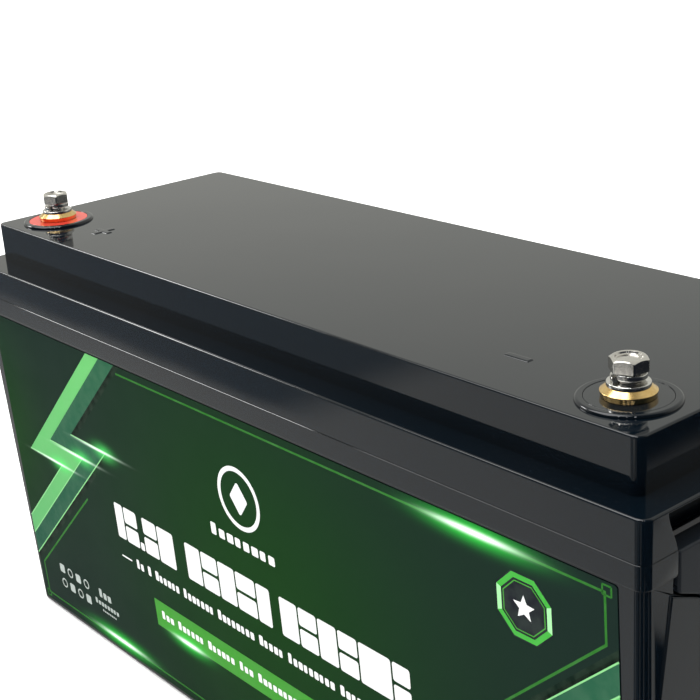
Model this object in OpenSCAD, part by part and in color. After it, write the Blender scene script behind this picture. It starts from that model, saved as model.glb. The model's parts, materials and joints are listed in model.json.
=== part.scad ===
// Deep cycle battery: a moulded case and lid, four prismatic cells with their
// wiring and management board, two bolted terminals and two folding handles.
// +X runs along the case, the label is on the -Y side, and the base is at Z = 0.

/* [Case] */
// Length over the collar and the lid skirt
case_l = 483; // [478:0.5:490]
// Width over the collar and the lid skirt
case_w = 178; // [176:0.5:184]
// Height of the lid's top face above the base
case_h = 240; // [238:0.5:244]
// Thickness of the moulded walls
wall = 3; // [2.5:0.1:3.4]
// Corner radius of the collar and the lid skirt
corner_r = 4.5; // [4:0.5:8]
// How far the container wall stands in from the collar, just under it
wall_inset = 1.5; // [1.2:0.1:2]
// How far the two end walls stand in from the collar, at the base
end_inset = 5.7; // [4:0.1:6.5]
// How far the front and back walls stand in from the collar, at the base
side_inset = 7.8; // [6:0.1:8]
// Height of the joint between the container and the lid
seam_z = 201; // [200:0.5:202]
// Height of the collar around the container's mouth
collar_h = 10; // [8:0.5:12]

/* [Lid] */
// Height of the ledge around the raised part of the lid
ledge_z = 218; // [216:0.5:220]
// Width of that ledge
ledge = 12.5; // [12:0.5:13]
// Corner radius of the raised part of the lid
slab_r = 4; // [3:0.5:6]

/* [Terminals] */
// Distance of each terminal from the middle, along the case
post_x = 204; // [200:0.5:207]
// Distance of the terminals from the middle, towards the label side
post_y = 51.5; // [50:0.1:54]
// Radius of the raised moulded ring around a terminal
ring_r = 19.4; // [18:0.1:20]
// Radius of the coloured disc inside that ring
disc_r = 16.2; // [15:0.1:17]
// Radius of the brass flange
flange_r = 10.4; // [10:0.1:11]
// Thread diameter of the terminal bolts
bolt_d = 8; // [8:0.5:8]

/* [Handles] */
// Half width of a handle at its hinge
handle_half = 70.5; // [66:0.5:71]
// Length of a handle below its hinge
handle_drop = 52; // [46:1:54]
// Radius of the hinge barrel
barrel_r = 6; // [5.5:0.1:6.2]
// Diameter of the steel hinge pins
pin_d = 5; // [4:0.1:5.5]

/* [Cells] */
// Length of one cell
cell_l = 174; // [172:0.5:174]
// Thickness of one cell
cell_t = 54; // [52:0.5:54.5]
// Height of one cell's can
cell_h = 201; // [195:0.5:202]

/* [Hidden] */
$fn = 48;

touch = 0.02;             // air left between faces that meet
eps = 0.5;                // how far a cut runs past a face
half_l = case_l / 2;
half_w = case_w / 2;
slab_l = case_l - 2 * ledge;
slab_w = case_w - 2 * ledge;
collar_z = seam_z - collar_h;
floor_t = 4;
label_l = 458;
label_h = 186;
label_t = 0.4;
label_z = 3.5;
mark_size = 12;           // moulded plus and minus
mark_w = 3;
mark_h = 0.5;
plus_at = [-161, -48];
minus_at = [146, -46.5];
land_w = wall_inset + wall;          // width of the container's top face
draft_deg = atan((side_inset - wall_inset) / collar_z);
base_insets = [end_inset, side_inset];

// Lid seal, in a groove in the container's top face
seal_in = 1.2;
seal_w = 1.4;
seal_h = 1.2;

// Pocket for a folded handle
pivot_x = half_l - barrel_r;
pivot_z = seam_z - barrel_r - 0.5;
handle_t = 8;
pocket_gap = 0.8;
pocket_depth = 18;
pocket_wall = 3.5;
notch_foot = 71.3;        // half width of the lid's notch at the seam
notch_top = 76.5;         // and at the ledge
notch_rim = 1.5;          // left standing over the notch
scoop_half = 47;
scoop_z = 124;
pin_len = 18;
pin_in_handle = 11;
pin_play = 0.05;

// Terminal stack, from the lid upwards
ring_h = 1.4;
disc_t = 1.4;
disc_z = case_h + ring_h - disc_t - 0.1;
disc_top = disc_z + disc_t;
flange_h = 4;
flange_top = disc_top + flange_h;
post_r = 8;
post_hole_r = 8.1;
post_bottom = 222;
flat_t = 1.6;
flat_r = 8;
lock_r = 6.6;
lock_t = 2;
lock_rise = 1.8;
head_h = 5.3;
head_af = 13;
shank_l = 16;             // below the head
thread_depth = 18;        // of the post's own thread
washer_bore_r = bolt_d / 2 + 0.3;
flat_z = flange_top;
lock_z = flat_z + flat_t;
head_z = lock_z + lock_t + lock_rise;
seal_r = 7.25;
seal_section_r = 0.82;
seal_z = 238.2;
lug_t = 3;
lug_r = 12;
post_lug_z = 230.5;
post_boss_z = post_lug_z + lug_t;
nut_af = 24;
nut_h = 5.5;

// Cell pack
gap = 1;                              // between neighbouring cells
cell_z = 7;
cell_top = cell_z + cell_h;
cell_cx = (cell_l + gap) / 2;
cell_cy = (cell_t + gap) / 2;
tab_x = 61.25;                        // terminals either side of a cell's middle
pad_h = 3;
pad_top = cell_top + pad_h;
stud_d = 6;
stud_h = 11;
bar_t = 2;
bar_w = 20;
plate_x = gap / 2 + cell_l + 0.1;
plate_t = 4;
plate_h = 189;
strap_t = 0.8;
strap_w = 8;
strap_zs = [80, 180];
nut6_af = 10;
nut6_h = 5.5;

// Battery management board, standing at the +X end of the pack
board_x = 192;
board_t = 1.6;
board_half = 50;
board_z = 45;
board_h = 120;
sink_x = 198;
standoff_x = plate_x + plate_t + strap_t + 0.1;
standoffs = [[-45, 52], [45, 52], [-45, 158], [45, 158]];

block_y = 34;

cable_r = 4.5;
wire_r = 1.1;
post_neck = 15;
post_barrel = 12;
cell_neck = 12;
cell_barrel = 10;

// Bench names of the cells: [x side, y side, which end is positive]
CELLS = [[-1, -1, -1], [1, -1, -1], [1, 1, 1], [-1, 1, 1]];

// ---------- shared shapes ----------

module rounded_rect(l, w, r) {
    square([l - 2 * r, w], center = true);
    square([l, w - 2 * r], center = true);
    for (x = [-1, 1], y = [-1, 1])
        translate([x * (l / 2 - r), y * (w / 2 - r)]) circle(r);
}

module rounded_slab(l, w, h, r) {
    linear_extrude(h) rounded_rect(l, w, r);
}

module ring(r_out, r_in, h) {
    difference() {
        cylinder(r = r_out, h = h);
        translate([0, 0, -eps]) cylinder(r = r_in, h = h + 2 * eps);
    }
}

function unit(v) = v / norm(v);

// Direction of the smooth curve at point i of p, no longer than its shorter neighbour
function heading(p, i) =
    i == 0 ? p[1] - p[0] :
    i == len(p) - 1 ? p[i] - p[i - 1] :
    unit(p[i + 1] - p[i - 1]) * min(norm(p[i + 1] - p[i]), norm(p[i] - p[i - 1]));

// A point t of the way from a to b on the curve that leaves along u and arrives along v
function curve_point(a, b, u, v, t) =
    a * (2 * t ^ 3 - 3 * t ^ 2 + 1) + u * (t ^ 3 - 2 * t ^ 2 + t)
    + b * (3 * t ^ 2 - 2 * t ^ 3) + v * (t ^ 3 - t ^ 2);

function smooth(p, steps) = concat(
    [for (i = [0 : len(p) - 2], s = [0 : steps - 1])
        curve_point(p[i], p[i + 1], heading(p, i), heading(p, i + 1), s / steps)],
    [p[len(p) - 1]]
);

function tangents(p) = [for (i = [0 : len(p) - 1]) unit(p[min(i + 1, len(p) - 1)] - p[max(i - 1, 0)])];

// Normals carried along the tangents t from the normal n, without twisting
function carried(t, n, i = 0) =
    i == len(t) ? [] : let (m = unit(n - t[i] * (n * t[i]))) concat([m], carried(t, m, i + 1));

// A wire or cable of radius r along a smooth curve through the given points
module wire(points, r, sides = 10, steps = 5) {
    path = smooth(points, steps);
    t = tangents(path);
    n = carried(t, unit(cross(t[0], [0.31, 0.52, 0.79])));
    last = (len(path) - 1) * sides;
    polyhedron(
        [for (i = [0 : len(path) - 1], k = [0 : sides - 1])
            let (a = 360 * k / sides) path[i] + r * (cos(a) * n[i] + sin(a) * cross(t[i], n[i]))],
        concat(
            [[for (k = [0 : sides - 1]) k], [for (k = [sides - 1 : -1 : 0]) last + k]],
            [for (i = [0 : len(path) - 2], k = [0 : sides - 1])
                let (a = i * sides + k, b = i * sides + (k + 1) % sides)
                    each [[a, a + sides, b + sides], [a, b + sides, b]]]
        ),
        convexity = 6
    );
}

// A crimped ring lug lying flat, its barrel pointing along +X
module lug(bore_r, tongue_r, t, neck, barrel_len, barrel_lift) {
    difference() {
        union() {
            cylinder(r = tongue_r, h = t);
            translate([0, -cable_r, 0]) cube([neck + 1, 2 * cable_r, t]);
            translate([neck, 0, t / 2 + barrel_lift])
                rotate([0, 90, 0]) cylinder(r = cable_r, h = barrel_len);
        }
        translate([0, 0, -eps - cable_r]) cylinder(r = bore_r, h = t + 2 * cable_r);
    }
}

module hex_nut(af, h, bore_r) {
    difference() {
        cylinder(r = af / 2 / cos(30), h = h, $fn = 6);
        translate([0, 0, -eps]) cylinder(r = bore_r, h = h + 2 * eps);
    }
}

module at_posts() {
    for (s = [-1, 1]) translate([s * post_x, -post_y, 0]) children();
}

// Every cell terminal: [x, y]
function tab(c, end) = [c[0] * cell_cx + end * tab_x, c[1] * cell_cy];
TABS = [for (c = CELLS, end = [-1, 1]) tab(c, end)];

// Draws its 2D child, whose axes are Y and Z, standing up and t thick along +X
module upright(t) {
    rotate([90, 0, 90]) linear_extrude(t) children();
}

// ---------- handle and its pocket ----------

// Outline of a hanging handle, its pivot at the origin, grown by g
module handle_outline(g) {
    polygon([
        [-handle_half - g, barrel_r + 8 * g], [-handle_half - g, -10.5 - g],
        [-56 - g, -16.7 - g], [-54.5 - g, -handle_drop - g],
        [54.5 + g, -handle_drop - g], [56 + g, -16.7 - g],
        [handle_half + g, -10.5 - g], [handle_half + g, barrel_r + 8 * g]
    ]);
}

// The space behind and around a folded handle; g grows it into its own walls
module pocket(g) {
    translate([half_l - pocket_depth - g, 0, pivot_z])
        upright(pocket_depth + g + eps) handle_outline(pocket_gap + g);
    translate([0, scoop_half + g, 0]) rotate([90, 0, 0])
        linear_extrude(2 * (scoop_half + g)) polygon([
            [half_l - pocket_depth - g, pivot_z - handle_drop],
            [half_l - pocket_depth - g, scoop_z + 10 - g],
            [half_l + eps, scoop_z - g],
            [half_l + eps, pivot_z - handle_drop]
        ]);
}

module both_ends() {
    children();
    mirror([1, 0, 0]) children();
}

module handle() {
    difference() {
        union() {
            translate([pivot_x + barrel_r - handle_t, 0, pivot_z]) intersection() {
                upright(handle_t) handle_outline(0);
                translate([-eps, -case_w, -case_h]) cube([handle_t + 2 * eps, 2 * case_w, case_h]);
            }
            translate([pivot_x, handle_half, pivot_z])
                rotate([90, 0, 0]) cylinder(r = barrel_r, h = 2 * handle_half);
            translate([pivot_x, -handle_half, pivot_z]) cube([barrel_r, 2 * handle_half, barrel_r]);
        }
        // finger opening
        translate([pivot_x - handle_t, 0, pivot_z - 23.5])
            upright(3 * handle_t) rounded_rect(94, 29, 6);
        for (s = [-1, 1])
            translate([pivot_x, s * (handle_half - pin_in_handle / 2 + eps), pivot_z])
                rotate([90, 0, 0]) cylinder(d = pin_d, h = pin_in_handle + 2 * eps, center = true);
    }
}

module hinge_pins() {
    for (s = [-1, 1])
        translate([pivot_x, s * (handle_half - pin_in_handle + pin_len / 2), pivot_z])
            rotate([90, 0, 0]) cylinder(d = pin_d, h = pin_len, center = true);
}

// ---------- container, lid and label ----------

// A body with drafted walls: insets from the collar are [ends, sides] at its foot, inset at its top
module drafted_body(insets, inset, low_z, high_z) {
    hull() {
        translate([0, 0, low_z])
            rounded_slab(case_l - 2 * insets[0], case_w - 2 * insets[1], 0.01, corner_r, $fn = 32);
        translate([0, 0, high_z - 0.01])
            rounded_slab(case_l - 2 * inset, case_w - 2 * inset, 0.01, corner_r, $fn = 32);
    }
}

module container() color("#16191d") difference() {
    union() {
        drafted_body(base_insets, wall_inset, 0, collar_z + eps);
        translate([0, 0, collar_z]) rounded_slab(case_l, case_w, collar_h, corner_r);
    }
    difference() {
        drafted_body(base_insets + [wall, wall], land_w, floor_t, seam_z + eps);
        both_ends() pocket(pocket_wall);
        both_ends() for (s = [-1, 1])          // bosses for the hinge pins
            translate([pivot_x - 1, s * (handle_half + 5.5), pivot_z]) cube([12, 9, 16], center = true);
        for (s = [-1, 1])                      // floor ribs that hold the cell pack
            translate([s * (plate_x + plate_t + 3.5), 0, 0]) cube([3, 120, 48], center = true);
    }
    both_ends() pocket(0);
    both_ends() for (s = [-1, 1])
        translate([pivot_x, s * (handle_half - pin_in_handle + pin_len / 2 + eps), pivot_z])
            rotate([90, 0, 0]) cylinder(d = pin_d + 2 * pin_play, h = pin_len + 2 * eps, center = true);
    translate([0, 0, seam_z - seal_h]) linear_extrude(seal_h + eps) seal_track();
}

// The outline of the joint, shrunk by inset, with the two pockets left out
module joint_outline(inset) {
    difference() {
        rounded_rect(case_l - 2 * inset, case_w - 2 * inset, corner_r - inset);
        for (s = [-1, 1])
            translate([s * (half_l - (pocket_depth + inset) / 2 + eps / 2), 0])
                square([pocket_depth + inset + eps, 2 * (handle_half + pocket_gap + inset)], center = true);
    }
}

module seal_track() {
    difference() {
        joint_outline(seal_in);
        joint_outline(seal_in + seal_w);
    }
}

module lid_seal() color("#3a3d40")
    translate([0, 0, seam_z - seal_h]) linear_extrude(seal_h) seal_track();

// The cut in the lid's skirt that lets a handle stand up, grown by g: its sides lean out in a curve
module notch(g) {
    full = ledge_z - seam_z;
    h = full - notch_rim + g;
    steps = 6;
    side = [for (i = [0 : steps]) let (z = h * i / steps)
        [notch_foot + (notch_top - notch_foot) * sin(90 * pow(min(z / full, 1), 1.4)) + g, z]];
    foot = [side[0][0], -eps];
    half = concat([foot], side);
    translate([half_l - ledge - g, 0, seam_z]) upright(ledge + g + eps)
        for (s = [0, 1]) mirror([s, 0, 0]) polygon(concat([[-eps, -eps]], half, [[-eps, h]]));
}

module minus_mark() {
    translate([-mark_size / 2, -mark_w / 2, 0]) cube([mark_size, mark_w, mark_h]);
}

module lid() color("#1b1e22") difference() {
    union() {
        difference() {
            union() {
                translate([0, 0, seam_z]) rounded_slab(case_l, case_w, ledge_z - seam_z, corner_r);
                translate([0, 0, ledge_z]) rounded_slab(slab_l, slab_w, case_h - ledge_z, slab_r);
            }
            difference() {
                union() {
                    translate([0, 0, seam_z - eps])
                        rounded_slab(case_l - 2 * wall, case_w - 2 * wall,
                                     ledge_z - wall - seam_z + eps, corner_r - wall);
                    translate([0, 0, seam_z - eps])
                        rounded_slab(slab_l - 2 * wall, slab_w - 2 * wall,
                                     case_h - wall - 0.5 - seam_z + eps, slab_r - wall);
                }
                both_ends() notch(wall);
                both_ends()                    // floor over the pocket's own walls
                    translate([half_l - pocket_depth - pocket_wall, -notch_top - wall, seam_z])
                        cube([pocket_depth, 2 * (notch_top + wall), wall]);
            }
            both_ends() notch(0);
        }
        at_posts() translate([0, 0, case_h]) cylinder(r = ring_r, h = ring_h);
        at_posts() translate([0, 0, post_boss_z]) cylinder(r = 14, h = case_h - post_boss_z);
        translate([plus_at[0], plus_at[1], case_h]) minus_mark();
        translate([plus_at[0], plus_at[1], case_h]) rotate([0, 0, 90]) minus_mark();
        translate([minus_at[0], minus_at[1], case_h]) minus_mark();
    }
    at_posts() translate([0, 0, disc_z]) cylinder(r = disc_r, h = ring_h + eps);
    at_posts() translate([0, 0, post_boss_z - eps]) cylinder(r = post_hole_r, h = case_h);
}

module front_label() color("#1d5a2c")
    translate([0, -half_w + side_inset, 0]) rotate([draft_deg, 0, 0])
        translate([-label_l / 2, -label_t - touch, label_z]) cube([label_l, label_t, label_h]);

// ---------- terminals ----------

module disc(s) {
    translate([s * post_x, -post_y, disc_z]) ring(disc_r - 0.05, post_hole_r, disc_t);
}

module positive_disc() color("#c23a1e") disc(-1);

module negative_disc() color("#1a1c1f") disc(1);

module post(s) {
    translate([s * post_x, -post_y, 0]) difference() {
        union() {
            translate([0, 0, post_bottom]) cylinder(r = post_r, h = disc_top - post_bottom);
            translate([0, 0, disc_top]) cylinder(r1 = flange_r - 0.4, r2 = flange_r, h = flange_h - 1);
            translate([0, 0, flange_top - 1]) cylinder(r1 = flange_r, r2 = flange_r - 1.4, h = 1);
        }
        translate([0, 0, flange_top - thread_depth]) cylinder(r = bolt_d / 2 + 0.05, h = thread_depth + eps);
        translate([0, 0, seal_z - 1]) ring(post_r + eps, seal_r - seal_section_r, 2);
    }
}

module positive_post() color("#c9a24a") post(-1);

module negative_post() color("#c9a24a") post(1);

module post_seals() color("#202020") at_posts()
    translate([0, 0, seal_z]) rotate_extrude() translate([seal_r, 0]) circle(seal_section_r, $fn = 24);

module post_nuts() color("#c9a24a") at_posts()
    translate([0, 0, post_lug_z - nut_h]) hex_nut(nut_af, nut_h, post_r + 0.05);

module post_lugs() color("#b87b4b") at_posts()
    translate([0, 0, post_lug_z]) rotate([0, 0, 90]) lug(post_r + 0.1, lug_r, lug_t, post_neck, post_barrel, -0.5);

module bolt(s) {
    translate([s * post_x, -post_y, head_z]) {
        translate([0, 0, -shank_l]) cylinder(d = bolt_d, h = shank_l);
        difference() {
            intersection() {
                rotate([0, 0, s > 0 ? 24 : 33]) cylinder(r = head_af / 2 / cos(30), h = head_h, $fn = 6);
                cylinder(r1 = 6.6 + head_h, r2 = 6.6, h = head_h);
            }
            translate([0, 0, head_h - 0.5]) cylinder(r = 4.6, h = 1);
        }
    }
}

module lock_washer(s) {
    translate([s * post_x, -post_y, lock_z + lock_rise / 2]) rotate([0, 0, -110]) difference() {
        ring(lock_r, washer_bore_r, lock_t);
        translate([0, -0.8, -eps]) cube([2 * lock_r, 1.6, lock_t + 2 * eps]);
    }
}

module flat_washer(s) {
    translate([s * post_x, -post_y, flat_z]) ring(flat_r, washer_bore_r, flat_t);
}

module positive_bolt() color("#c8c8c4") bolt(-1);

module positive_lock_washer() color("#b5b5b0") lock_washer(-1);

module positive_flat_washer() color("#c4c4c0") flat_washer(-1);

module negative_bolt() color("#c8c8c4") bolt(1);

module negative_lock_washer() color("#b5b5b0") lock_washer(1);

module negative_flat_washer() color("#c4c4c0") flat_washer(1);

// ---------- handles ----------

module left_handle() color("#22262b") mirror([1, 0, 0]) handle();

module left_hinge_pins() color("#b0b2b5") mirror([1, 0, 0]) hinge_pins();

module right_handle() color("#22262b") handle();

module right_hinge_pins() color("#b0b2b5") hinge_pins();

// ---------- cell pack ----------

module cell(c) {
    translate([c[0] * cell_cx, c[1] * cell_cy, cell_z]) difference() {
        rounded_slab(cell_l, cell_t, cell_h, 3);
        translate([0, 0, cell_h - 0.6]) cylinder(r = 7, h = 1);      // burst vent
    }
}

module cell_1() color("#2d6fb8") cell(CELLS[0]);

module cell_2() color("#2d6fb8") cell(CELLS[1]);

module cell_3() color("#2d6fb8") cell(CELLS[2]);

module cell_4() color("#2d6fb8") cell(CELLS[3]);

module cell_terminals() color("#cfd2d4") for (t = TABS) translate([t[0], t[1], cell_top]) {
    translate([-11, -9, 0]) cube([22, 18, pad_h]);
    cylinder(d = stud_d, h = pad_h + stud_h);
}

module cell_separators() color("#e6e2cf") {
    translate([-plate_x + 0.5, -0.4, cell_z]) cube([2 * plate_x - 1, 0.8, cell_h]);
    for (s = [-1, 1])
        translate([-0.4, s > 0 ? 0.5 : -0.5 - cell_t, cell_z]) cube([0.8, cell_t, cell_h]);
}

module end_plates() color("#b9bcc0") for (s = [-1, 1])
    translate([s * (plate_x + plate_t / 2), 0, cell_z + plate_h / 2])
        cube([plate_t, 2 * cell_t, plate_h], center = true);

module pack_straps() color("#9fa3a6") for (z = strap_zs) translate([0, 0, z - strap_w / 2])
    difference() {
        in_l = 2 * (plate_x + plate_t) + 0.1;
        in_w = 2 * cell_t + gap + 0.1;
        rounded_slab(in_l + 2 * strap_t, in_w + 2 * strap_t, strap_w, 1.5);
        translate([0, 0, -eps]) rounded_slab(in_l, in_w, strap_w + 2 * eps, 0.7);
    }

// A busbar between two cell terminals, with a hole over each stud
module busbar(a, b) {
    lo = [min(a[0], b[0]), min(a[1], b[1])];
    span = [abs(a[0] - b[0]), abs(a[1] - b[1])];
    translate([0, 0, pad_top]) difference() {
        translate([lo[0] - bar_w / 2, lo[1] - bar_w / 2, 0])
            cube([span[0] + bar_w, span[1] + bar_w, bar_t]);
        for (p = [a, b]) translate([p[0], p[1], -eps]) cylinder(d = stud_d + 0.4, h = bar_t + 2 * eps);
    }
}

module busbars() color("#c98a56") {
    busbar(tab(CELLS[0], 1), tab(CELLS[1], -1));
    busbar(tab(CELLS[1], 1), tab(CELLS[2], 1));
    busbar(tab(CELLS[2], -1), tab(CELLS[3], 1));
}

module busbar_nuts() color("#d0d2d4") for (t = TABS)
    translate([t[0], t[1], pad_top + bar_t]) hex_nut(nut6_af, nut6_h, stud_d / 2);

module cell_lugs() color("#b87b4b") {
    a = tab(CELLS[0], -1);
    b = tab(CELLS[3], -1);
    translate([a[0], a[1], pad_top]) rotate([0, 0, 180])
        lug(stud_d / 2 + 0.2, 9, bar_t, cell_neck, cell_barrel, 1);
    translate([b[0], b[1], pad_top]) rotate([0, 0, 90])
        lug(stud_d / 2 + 0.2, 9, bar_t, cell_neck, cell_barrel, 1);
}

module base_pad() color("#33363a")
    translate([0, 0, floor_t]) rounded_slab(356, 116, cell_z - floor_t, 3);

module side_pads() color("#33363a") for (s = [-1, 1])
    translate([0, s * 67, 95]) cube([340, 20, 176], center = true);

module end_pad() color("#33363a")
    translate([-199, 0, 60]) cube([28, 120, 110], center = true);

module top_pad() color("#33363a")
    translate([0, 0, 230]) cube([260, 96, 12], center = true);

// ---------- battery management system ----------

module bms_board() color("#1f6b3a") difference() {
    translate([board_x, -board_half, board_z]) cube([board_t, 2 * board_half, board_h]);
    for (p = standoffs) translate([board_x - eps, p[0], p[1]])
        rotate([0, 90, 0]) cylinder(d = 3.2, h = board_t + 2 * eps);
}

module bms_transistors() color("#1b1b1d") for (row = [0 : 1], i = [0 : 5])
    translate([board_x + board_t, -37 + i * 13, 70 + row * 40])
        cube([sink_x - board_x - board_t, 9, 14]);

module bms_heat_sink() color("#8f9498") {
    translate([sink_x, -42, board_z + 5]) cube([3, 84, 100]);
    for (i = [0 : 9]) translate([sink_x + 3, -42 + i * 9.2, board_z + 5]) cube([9, 1.2, 100]);
}

module bms_standoffs() color("#c8a750") for (p = standoffs)
    translate([standoff_x, p[0], p[1]]) rotate([0, 90, 0]) difference() {
        cylinder(d = 7, h = board_x - standoff_x, $fn = 6);
        translate([0, 0, board_x - standoff_x - 8]) cylinder(d = 3, h = 9);
    }

module bms_screws() color("#c6c8ca") for (p = standoffs)
    translate([board_x - 6, p[0], p[1]]) rotate([0, 90, 0]) {
        cylinder(d = 3, h = 6 + board_t);
        translate([0, 0, 6 + board_t]) cylinder(d = 5.6, h = 2);
    }

module bms_power_blocks() color("#c9a24a") for (s = [-1, 1])
    translate([board_x + board_t, s * block_y - 7, board_z + board_h - 9]) cube([11, 14, 14]);

module sense_connector() color("#ece9df")
    translate([board_x + board_t, -9, board_z + board_h - 9]) cube([6, 18, 8]);

// Sense wires run from one terminal of each cell along the middle of the pack
SENSE_TABS = [tab(CELLS[0], -1), tab(CELLS[0], 1), tab(CELLS[1], 1), tab(CELLS[2], -1), tab(CELLS[3], -1)];
sense_ys = [0, -3, -6, 6, 3];

module sense_wires() color("#c23a1e") for (i = [0 : 4]) {
    t = SENSE_TABS[i];
    y = sense_ys[i];
    low = cell_top + wire_r + 0.1;
    plug_x = board_x + board_t + 3;
    wire([
        [t[0], sign(t[1]) * 17.3, low], [t[0] + 1, y + sign(t[1]) * 5, low], [t[0] + 6, y, low],
        [178, y, low], [plug_x - 5, y, 205], [plug_x, y, 195], [plug_x, y, board_z + board_h - 1]
    ], wire_r, 6, 3);
}

module temperature_probe() color("#2b2b2b")
    translate([-90, 8.5, cell_top]) cube([12, 6, 2.6]);

module wireless_board() color("#1c4f86") {
    translate([178, 40, 233.4]) cube([24, 26, 1.6]);
    translate([182, 46, 231.4]) cube([14, 14, 2]);
}

module wireless_tape() color("#e6e6e6")
    translate([180, 42, 235]) cube([20, 22, case_h - wall - 0.5 - 235]);

// ---------- power cables ----------

post_end = -post_y + post_neck + post_barrel;
post_mid_z = post_lug_z + lug_t / 2 - 0.5;
cell_end = cell_neck + cell_barrel;
cell_mid_z = pad_top + bar_t / 2 + 1;
block_x = board_x + board_t + 5.5;
block_top = board_z + board_h + 5;

module positive_cable() color("#b3261c") {
    a = tab(CELLS[0], -1);
    wire([
        [-post_x, post_end, post_mid_z], [-post_x, post_end + 3, post_mid_z],
        [-post_x, post_end + 6, post_mid_z], [-205, -12, 228], [-198, -10, 220],
        [-188, -20, cell_mid_z + 2], [a[0] - cell_end - 8, a[1], cell_mid_z],
        [a[0] - cell_end - 4, a[1], cell_mid_z], [a[0] - cell_end, a[1], cell_mid_z]
    ], cable_r, 10, 4);
}

module cell_negative_cable() color("#232326") {
    b = tab(CELLS[3], -1);
    wire([
        [b[0], b[1] + cell_end, cell_mid_z], [b[0], b[1] + cell_end + 3, cell_mid_z],
        [b[0], b[1] + cell_end + 6, cell_mid_z], [b[0] + 8, 65, cell_mid_z], [b[0] + 20, 67, cell_mid_z],
        [180, 67, cell_mid_z], [192, 60, 208], [block_x, 46, 196],
        [block_x, block_y, block_top + 8], [block_x, block_y, block_top + 4], [block_x, block_y, block_top]
    ], cable_r, 10, 4);
}

module negative_cable() color("#232326")
    wire([
        [block_x, -block_y, block_top], [block_x, -block_y, block_top + 4],
        [block_x, -block_y, block_top + 8], [block_x, -32, 196], [202, -20, 214], [post_x, -12, 226],
        [post_x, post_end + 6, post_mid_z], [post_x, post_end + 3, post_mid_z],
        [post_x, post_end, post_mid_z]
    ], cable_r, 10, 4);

container();
lid();
lid_seal();
front_label();
positive_disc();
negative_disc();
positive_post();
negative_post();
post_seals();
post_nuts();
post_lugs();
cell_lugs();
positive_bolt();
positive_lock_washer();
positive_flat_washer();
negative_bolt();
negative_lock_washer();
negative_flat_washer();
left_handle();
left_hinge_pins();
right_handle();
right_hinge_pins();
cell_1();
cell_2();
cell_3();
cell_4();
cell_terminals();
cell_separators();
end_plates();
pack_straps();
busbars();
busbar_nuts();
base_pad();
side_pads();
end_pad();
top_pad();
bms_board();
bms_transistors();
bms_heat_sink();
bms_standoffs();
bms_screws();
bms_power_blocks();
sense_connector();
sense_wires();
temperature_probe();
wireless_board();
wireless_tape();
positive_cable();
cell_negative_cable();
negative_cable();
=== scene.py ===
"""Looks of a deep cycle battery: glossy case, printed label, two bolted terminals and two handles.

Shapes are worked out in millimetres in the CAD's own frame and scaled to metres as each mesh is made.
"""

import json
import math

import bmesh
import bpy
from mathutils import Matrix, Vector


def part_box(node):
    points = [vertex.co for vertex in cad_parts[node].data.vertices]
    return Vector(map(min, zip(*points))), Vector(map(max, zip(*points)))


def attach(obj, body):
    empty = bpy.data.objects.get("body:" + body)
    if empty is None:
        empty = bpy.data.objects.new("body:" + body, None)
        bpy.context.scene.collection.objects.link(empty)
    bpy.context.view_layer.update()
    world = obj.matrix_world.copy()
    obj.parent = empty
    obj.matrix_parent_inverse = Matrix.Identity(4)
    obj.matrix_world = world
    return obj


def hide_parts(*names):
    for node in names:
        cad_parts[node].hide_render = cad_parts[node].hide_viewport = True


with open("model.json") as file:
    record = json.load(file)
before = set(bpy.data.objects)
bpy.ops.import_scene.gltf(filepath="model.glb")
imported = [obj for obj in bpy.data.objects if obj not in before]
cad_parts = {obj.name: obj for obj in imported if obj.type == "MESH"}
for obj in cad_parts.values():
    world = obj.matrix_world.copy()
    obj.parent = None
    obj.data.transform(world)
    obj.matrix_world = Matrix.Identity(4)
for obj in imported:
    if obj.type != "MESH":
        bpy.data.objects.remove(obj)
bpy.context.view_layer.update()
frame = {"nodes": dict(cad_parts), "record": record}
MM = 0.001


def corners(node):
    """Lowest and highest corner of a CAD node, in millimetres."""
    low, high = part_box(node)
    return low / MM, high / MM


# ---------- dimensions, in millimetres ----------

SIDES = (1, -1)

# Case: walls that lean out to a collar around the mouth
HALF_L, HALF_W, SEAM_Z = corners("container")[1]
WALL = 3.0
FLOOR_T = 4.0
CORNER_R = 4.5
WALL_CORNER_R = 6.0
WALL_INSET = 1.5
END_INSET = 5.7
SIDE_INSET = 7.8
COLLAR_Z = SEAM_Z - 10.0
DRAFT = math.atan((SIDE_INSET - WALL_INSET) / COLLAR_Z)
BASE_EDGE = 2.0
MOUTH_CHAMFER = 0.12
# Half of the end panel's outline, (Y, Z)
PANEL_CORNERS = [(78, 6), (78, 145), (73.2, 183.9), (55, 176.4)]
PANEL_ROOT = 4.0
PANEL_PROUD = 0.9

# Lid: skirt, ledge and raised slab
SKIRT_CHAMFER = 0.35
LEDGE_Z = 218.0
LEDGE = 12.5
SLAB_R = 4.0
TOP_Z = 240.0
RING_R = 19.4
RING_TOP = TOP_Z + 1.4
DISC_R = 16.2
HOLE_R = 8.1
POST_BOSS_R = 14.0
POST_BOSS_LOW = 233.5
NOTCH_FOOT = 71.3
NOTCH_TOP = 76.5
NOTCH_RIM = 1.5
PLUS_AT = (-161, -48)
MINUS_AT = (146, -46.5)

# Handles, and the pockets that they hang in
BARREL_R = 6.0
PIVOT_X = HALF_L - BARREL_R
PIVOT_Z = SEAM_Z - BARREL_R - 0.5
HANDLE_HALF = 70.5
SHOULDER_DROP = 10.5
NECK_HALF, NECK_DROP = 56.0, 16.7
FOOT_HALF, HANDLE_DROP = 54.5, 52.0
HANDLE_T = 8.0
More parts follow.
